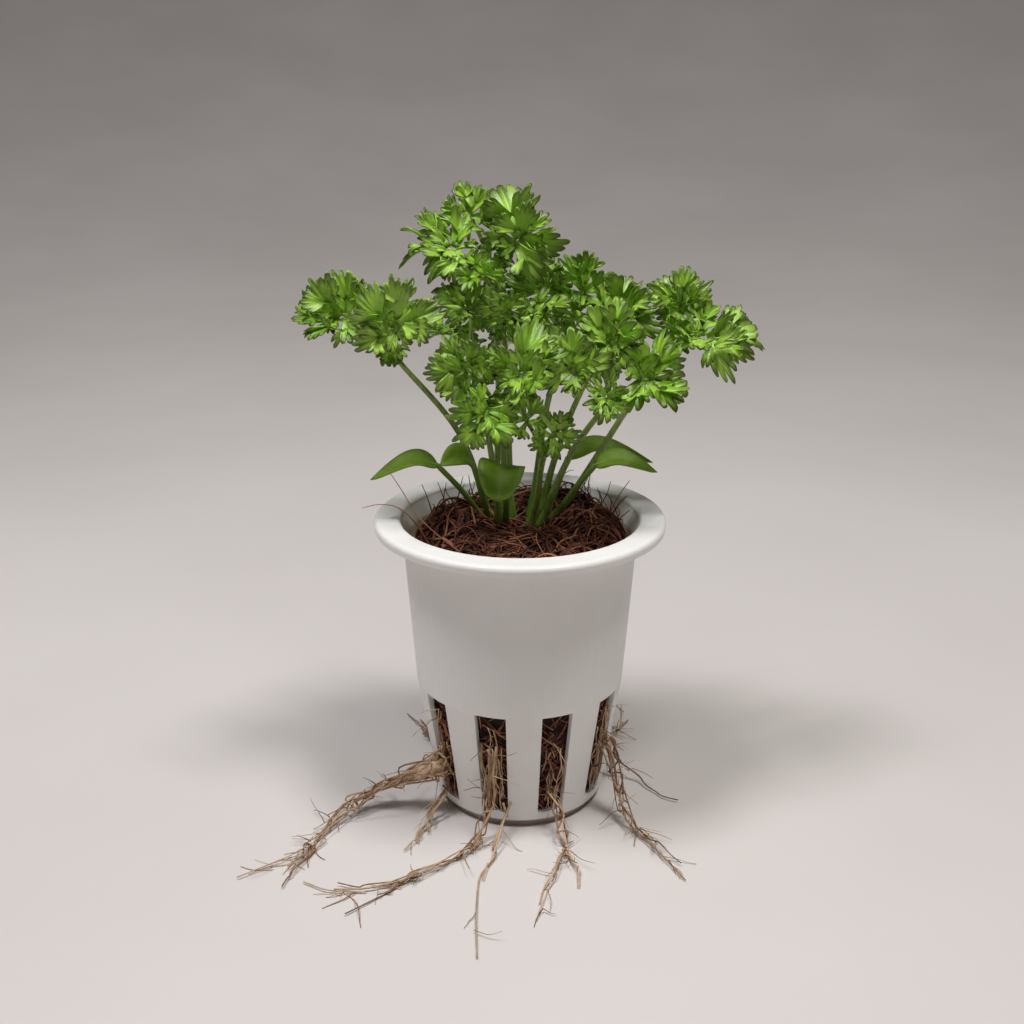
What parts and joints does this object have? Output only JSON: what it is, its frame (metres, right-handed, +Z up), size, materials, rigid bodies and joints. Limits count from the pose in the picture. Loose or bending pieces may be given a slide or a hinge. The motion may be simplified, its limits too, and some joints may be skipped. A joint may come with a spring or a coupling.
{
  "type": "potted parsley",
  "caption": "Young curly parsley growing in a white slotted net cup filled with coir, with its roots trailing out of the slots over the table",
  "frame": {"origin": "middle of the cup's underside, on the table", "axes": "+Z up; the view with the widest spread of leaves, a slot rib near the middle, faces -Y"},
  "size_m": [0.0914, 0.0882, 0.1176],
  "materials": {
    "cup": "semi-gloss white polypropylene, slightly translucent",
    "coir": "loose dark red-brown coconut fibre, matt",
    "stalk": "ribbed olive-green stalk, satin",
    "leaf": "mid-green leaf, glossy, with paler veins",
    "seed_leaf": "smooth olive-green leaf, satin",
    "root": "dry tan root fibre, matt"
  },
  "bodies": {
    "root": {"net_cup": "cup", "coir_plug": "coir", "leaf_back_left_stalk": "stalk", "leaf_back_right_stalk": "stalk", "leaf_far_right_stalk": "stalk", "leaf_front_right_stalk": "stalk", "leaf_front_stalk": "stalk", "leaf_left_stalk": "stalk", "leaf_middle_stalk": "stalk", "leaf_right_stalk": "stalk", "leaf_small_stalk": "stalk", "leaf_top_stalk": "stalk", "leaf_back_left_leaflet_1": "leaf", "leaf_back_left_leaflet_2": "leaf", "leaf_back_left_leaflet_3": "leaf", "leaf_back_right_leaflet_1": "leaf", "leaf_back_right_leaflet_2": "leaf", "leaf_far_right_leaflet_1": "leaf", "leaf_far_right_leaflet_2": "leaf", "leaf_front_leaflet_1": "leaf", "leaf_front_leaflet_2": "leaf", "leaf_front_leaflet_3": "leaf", "leaf_front_right_leaflet_1": "leaf", "leaf_front_right_leaflet_2": "leaf", "leaf_front_right_leaflet_3": "leaf", "leaf_front_right_leaflet_4": "leaf", "leaf_left_leaflet_1": "leaf", "leaf_left_leaflet_2": "leaf", "leaf_left_leaflet_3": "leaf", "leaf_middle_leaflet_1": "leaf", "leaf_middle_leaflet_2": "leaf", "leaf_middle_leaflet_3": "leaf", "leaf_right_leaflet_1": "leaf", "leaf_right_leaflet_2": "leaf", "leaf_right_leaflet_3": "leaf", "leaf_small_leaflet_1": "leaf", "leaf_small_leaflet_2": "leaf", "leaf_top_leaflet_1": "leaf", "leaf_top_leaflet_2": "leaf", "leaf_top_leaflet_3": "leaf", "leaf_top_leaflet_4": "leaf", "seed_leaf_front": "seed_leaf", "seed_leaf_front_right": "seed_leaf", "seed_leaf_left": "seed_leaf", "seed_leaf_left_middle": "seed_leaf", "seed_leaf_right": "seed_leaf", "root_back": "root", "root_back_left": "root", "root_back_right": "root", "root_front": "root", "root_front_left": "root", "root_front_left_fork": "root", "root_front_right": "root", "root_front_right_fork": "root", "root_left": "root", "root_left_fork": "root", "root_left_low": "root", "root_right": "root", "root_right_side": "root"}
  },
  "joints": []
}
